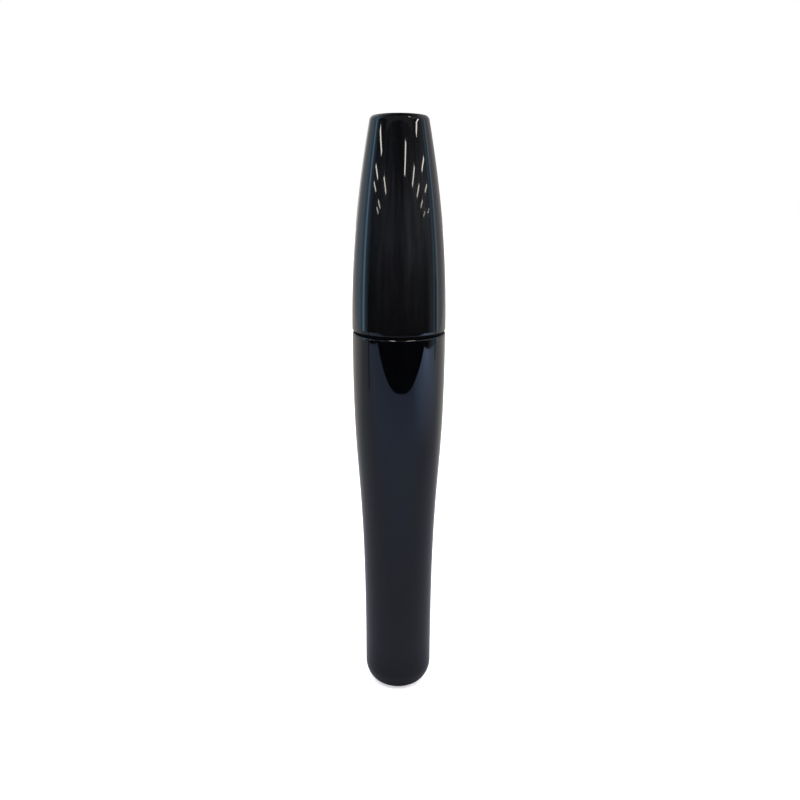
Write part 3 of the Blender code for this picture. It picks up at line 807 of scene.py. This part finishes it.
def swept(places, faces, path, radius, sides):
    """Add a closed tube around a path of points to lists of places and faces."""
    first = len(places)
    last = len(path) - 1
    for i, point in enumerate(path):
        along = (path[min(i + 1, last)] - path[max(i - 1, 0)]).normalized()
        across = along.cross(Vector((0.0, 0.0, 1.0)) if abs(along.z) < 0.9 else Vector((1.0, 0.0, 0.0)))
        across.normalize()
        beside = along.cross(across)
        for side in range(sides):
            turn = 2.0 * math.pi * side / sides
            places.append(point + radius * (math.cos(turn) * across + math.sin(turn) * beside))
    for i in range(last):
        for side in range(sides):
            here = first + i * sides
            ahead = (side + 1) % sides
            faces.append((here + side, here + ahead, here + sides + ahead, here + sides + side))
    faces.append(tuple(first + side for side in reversed(range(sides))))
    faces.append(tuple(first + last * sides + side for side in range(sides)))


def add_brush_core():
    """Two wires twisted together, whose lower ends close in a tip."""
    places = []
    faces = []
    low = WIRE_LOW.z + STRAND_RADIUS
    high = WIRE_HIGH.z - STRAND_RADIUS
    steps_per_turn = 14
    count = round((high - low) / TWIST_PITCH * steps_per_turn)
    for strand in (0, 1):
        path = []
        for i in range(count + 1):
            angle = 2.0 * math.pi * i / steps_per_turn + math.pi * strand
            path.append(Vector((STRAND_RADIUS * math.cos(angle), STRAND_RADIUS * math.sin(angle),
                                low + (high - low) * i / count)))
        swept(places, faces, path, STRAND_RADIUS, 8)
    wire = built("twisted_wire", places, faces)
    placed(wire, "cap", "brush_core", wire_steel(), STRAND_SMOOTH_ANGLE)


def bristle_reach(height):
    """Radius of the brush at a height: full near the rod, tapered to the tip."""
    share = (height - BRISTLE_LOW.z) / (BRISTLE_HIGH.z - BRISTLE_LOW.z)
    fullness = math.sin(min(1.0, share / BRISTLE_FULL_SHARE) * math.pi / 2)
    body = BRISTLE_TIP_RADIUS + (BRISTLE_RADIUS - BRISTLE_TIP_RADIUS) * fullness
    rounded_ends = min(1.0, 0.55 + share / 0.08, 0.7 + (1.0 - share) / 0.1)
    return body * rounded_ends


def add_brush_bristles():
    """Fibres clamped between the two wires, so that their ends stand out along a double spiral."""
    rng = random.Random(11)
    places = []
    faces = []
    low = BRISTLE_LOW.z + 0.2 * MM
    high = BRISTLE_HIGH.z - 0.2 * MM
    for i in range(BRISTLE_COUNT):
        height = low + (high - low) * (i + 0.5) / BRISTLE_COUNT
        clamp = 2.0 * math.pi * (height - WIRE_LOW.z) / TWIST_PITCH + math.pi / 2
        for half in (0, 1):
            angle = clamp + math.pi * half + rng.uniform(-BRISTLE_FAN, BRISTLE_FAN)
            reach = bristle_reach(height) * rng.uniform(*BRISTLE_LENGTH)
            outwards = Vector((math.cos(angle), math.sin(angle), 0.0))
            sideways = Vector((-math.sin(angle), math.cos(angle), 0.0))
            lift = rng.uniform(-BRISTLE_BEND, BRISTLE_BEND)
            path = []
            for share in (0.12, 0.55, 1.0):
                bend = share * share * lift * reach
                place = outwards * (share * reach) + sideways * (bend * 0.5)
                limit = min(max(height + bend, low), high)
                path.append(place + Vector((0.0, 0.0, limit)))
            swept(places, faces, path, BRISTLE_THICKNESS / 2, 3)
    bristles = built("bristles", places, faces)
    placed(bristles, "cap", "brush_bristles", bristle_nylon(), STRAND_SMOOTH_ANGLE)


# Surroundings

def add_camera():
    """The camera of the photograph: a little above the cap, looking down at the object."""
    data = bpy.data.cameras.new("camera")
    data.lens = CAMERA_LENS
    data.sensor_width = 36.0
    camera = bpy.data.objects.new("camera", data)
    camera.location = CAMERA_PLACE
    camera.rotation_mode = "ZYX"
    camera.rotation_euler = (math.radians(90.0 - CAMERA_PITCH_DEGREES), 0.0,
                             math.radians(CAMERA_ROLL_DEGREES))
    bpy.context.scene.collection.objects.link(camera)
    bpy.context.scene.camera = camera


def one_sided(material, shader_output):
    """Let a stage surface show from above only, so that views from below look through it."""
    tree = material.node_tree
    from_below = tree.nodes.new("ShaderNodeNewGeometry").outputs["Backfacing"]
    clear = tree.nodes.new("ShaderNodeBsdfTransparent").outputs["BSDF"]
    tree.links.new(mixed(tree, from_below, shader_output, clear),
                   tree.nodes["Material Output"].inputs["Surface"])


def stage_surface(name, corners, material):
    """A flat stage piece with these corners, anticlockwise as seen from its front."""
    surface = built(name, corners, [tuple(range(len(corners)))])
    surface.data.materials.append(material)
    bpy.context.scene.collection.objects.link(surface)
    return surface


def glow_material(name):
    """A material that only gives off light. Returns it with its Emission node."""
    material = bpy.data.materials.new(name)
    material.use_nodes = True
    tree = material.node_tree
    tree.nodes.remove(tree.nodes["Principled BSDF"])
    glow = tree.nodes.new("ShaderNodeEmission")
    tree.links.new(glow.outputs["Emission"], tree.nodes["Material Output"].inputs["Surface"])
    return material, glow


def add_floor():
    """Plain white floor, which the camera sees and the reflections don't."""
    material = principled("floor_white", (0.92, 0.92, 0.92), 0.9, Specular_IOR_Level=0.0,
                          Emission_Color=(1.0, 1.0, 1.0, 1.0), Emission_Strength=FLOOR_GLOW)
    one_sided(material, material.node_tree.nodes["Principled BSDF"].outputs["BSDF"])
    half = FLOOR_SIZE / 2
    corners = [(-half, -half, FLOOR_Z), (half, -half, FLOOR_Z), (half, half, FLOOR_Z),
               (-half, half, FLOOR_Z)]
    floor = stage_surface("floor", corners, material)
    floor.visible_glossy = False


def table_glow():
    """Light from the table top: bluish in front, whiter behind, dim close around the object."""
    material, glow = glow_material("table_glow")
    tree = material.node_tree
    place = tree.nodes.new("ShaderNodeTexCoord").outputs["Object"]
    split = tree.nodes.new("ShaderNodeSeparateXYZ")
    tree.links.new(place, split.inputs["Vector"])
    depth = calculated(tree, "MULTIPLY_ADD", split.outputs["Y"], 1.0 / TABLE_DEPTH_SPAN, 0.5)
    along = ramp(tree, depth, TABLE_DEPTH_COLOURS)
    to_window = combined(tree, "DISTANCE", place, WINDOW_SPOT)
    spot = ramp(tree, calculated(tree, "MULTIPLY", to_window, 1.0 / WINDOW_SPOT_SIZE),
                WINDOW_SPOT_COLOURS)
    to_object = combined(tree, "LENGTH", place)
    shade = ramp(tree, calculated(tree, "MULTIPLY", to_object, 1.0 / CONTACT_SPAN),
                 grey_stops(CONTACT_SHADE))
    colour = combined(tree, "MULTIPLY", combined(tree, "ADD", along, spot), shade)
    tree.links.new(colour, glow.inputs["Color"])
    one_sided(material, glow.outputs["Emission"])
    return material


def add_table():
    """Table top that only reflections see; its front edge is a little askew."""
    table = stage_surface("table", [(x, y, 0.0) for x, y in TABLE_OUTLINE], table_glow())
    table.visible_camera = False
    table.visible_diffuse = False
    table.visible_shadow = False


def add_cards():
    """The upright cards, each turned to face the object."""
    for name, place, width, low, high, light in CARDS:
        material, glow = glow_material(name)
        glow.inputs["Color"].default_value = (light, light, light, 1.0)
        centre = Vector(place)
        reach = Vector((-centre.y, centre.x)).normalized() * width / 2
        left, right = centre - reach, centre + reach
        corners = [(*left, low), (*right, low), (*right, high), (*left, high)]
        card = stage_surface(name, corners, material)
        card.visible_camera = False
        card.visible_diffuse = False


def add_area(name, place, size, radiance, reflected, colour=(1.0, 1.0, 1.0)):
    """A rectangular lamp that faces straight down."""
    data = bpy.data.lights.new(name, "AREA")
    data.shape = "RECTANGLE"
    data.size, data.size_y = size
    data.energy = radiance * math.pi * size[0] * size[1]
    data.color = colour
    lamp = bpy.data.objects.new(name, data)
    lamp.location = place
    lamp.visible_camera = False
    lamp.visible_glossy = reflected
    bpy.context.scene.collection.objects.link(lamp)


def add_lights():
    """A soft light from above, and the rows of ceiling lamps that glint on the cap."""
    add_area("soft_light", SOFT_LIGHT_PLACE, SOFT_LIGHT_SIZE, SOFT_LIGHT, reflected=False)
    for row, (y, lamps) in enumerate(LAMP_ROWS):
        for i, x in enumerate(lamps):
            place = (x, y + LAMP_SKEW * x, CEILING)
            add_area(f"lamp_{row}_{i}", place, LAMP_SIZE, LAMP_RADIANCE, True, LAMP_COLOUR)


def by_height(tree, height, stops):
    """Ramp over the height of a direction's unit vector, from straight down to straight up."""
    return ramp(tree, calculated(tree, "MULTIPLY_ADD", height, 0.5, 0.5),
                grey_stops([(0.5 * place + 0.5, share) for place, share in stops]))


def room_strength(tree, direction, height, azimuth):
    """How much of the walls' light comes from a direction: patchy in front, even at the sides."""
    clutter = tree.nodes.new("ShaderNodeTexNoise")
    clutter.inputs["Scale"].default_value = CLUTTER_SCALE
    clutter.inputs["Detail"].default_value = 3.0
    tree.links.new(direction, clutter.inputs["Vector"])
    low, high = CLUTTER_RANGE
    patches = calculated(tree, "MULTIPLY_ADD", clutter.outputs["Fac"], high - low, low)
    beside = calculated(tree, "SUBTRACT", calculated(tree, "ABSOLUTE", azimuth), SIDES_START)
    in_front = calculated(tree, "MULTIPLY", by_height(tree, height, FRONT_HEIGHTS), patches)
    share = tree.nodes.new("ShaderNodeMix")
    share.clamp_factor = True
    tree.links.new(calculated(tree, "DIVIDE", beside, SIDES_BLEND), share.inputs["Factor"])
    tree.links.new(in_front, share.inputs[2])
    tree.links.new(by_height(tree, height, SIDE_HEIGHTS), share.inputs[3])
    return share.outputs[0]


def add_world():
    """White to the camera. To the object: a dim room in front, and walls with windows at its sides."""
    world = bpy.data.worlds.new("room")
    bpy.context.scene.world = world
    world.use_nodes = True
    tree = world.node_tree
    tree.nodes.clear()
    direction = tree.nodes.new("ShaderNodeTexCoord").outputs["Generated"]
    split = tree.nodes.new("ShaderNodeSeparateXYZ")
    tree.links.new(direction, split.inputs["Vector"])
    forwards = calculated(tree, "MULTIPLY", split.outputs["Y"], -1.0)
    azimuth = calculated(tree, "ARCTAN2", split.outputs["X"], forwards)
    walls = ramp(tree, calculated(tree, "MULTIPLY_ADD", azimuth, 0.5 / math.pi, 0.5),
                 [(degrees / 360.0 + 0.5, colour) for degrees, colour in ROOM_WALLS])
    room = tree.nodes.new("ShaderNodeBackground")
    tree.links.new(walls, room.inputs["Color"])
    tree.links.new(room_strength(tree, direction, split.outputs["Z"], azimuth), room.inputs["Strength"])
    backdrop = tree.nodes.new("ShaderNodeBackground")
    backdrop.inputs["Color"].default_value = (1.0, 1.0, 1.0, 1.0)
    seen = tree.nodes.new("ShaderNodeLightPath").outputs["Is Camera Ray"]
    light = mixed(tree, seen, room.outputs["Background"], backdrop.outputs["Background"])
    tree.links.new(light, tree.nodes.new("ShaderNodeOutputWorld").inputs["Surface"])


bpy.context.scene.view_settings.view_transform = "Standard"
add_camera()
add_world()
add_lights()
add_floor()
add_table()
add_cards()

add_outer_tube()
add_base_label()
add_inner_vial()
add_mascara_paste()
add_wiper()
add_neck_collar()

add_cap_shell()
add_cap_liner()
add_cap_weight()
add_cap_seal()
add_wand_rod()
add_brush_core()
add_brush_bristles()
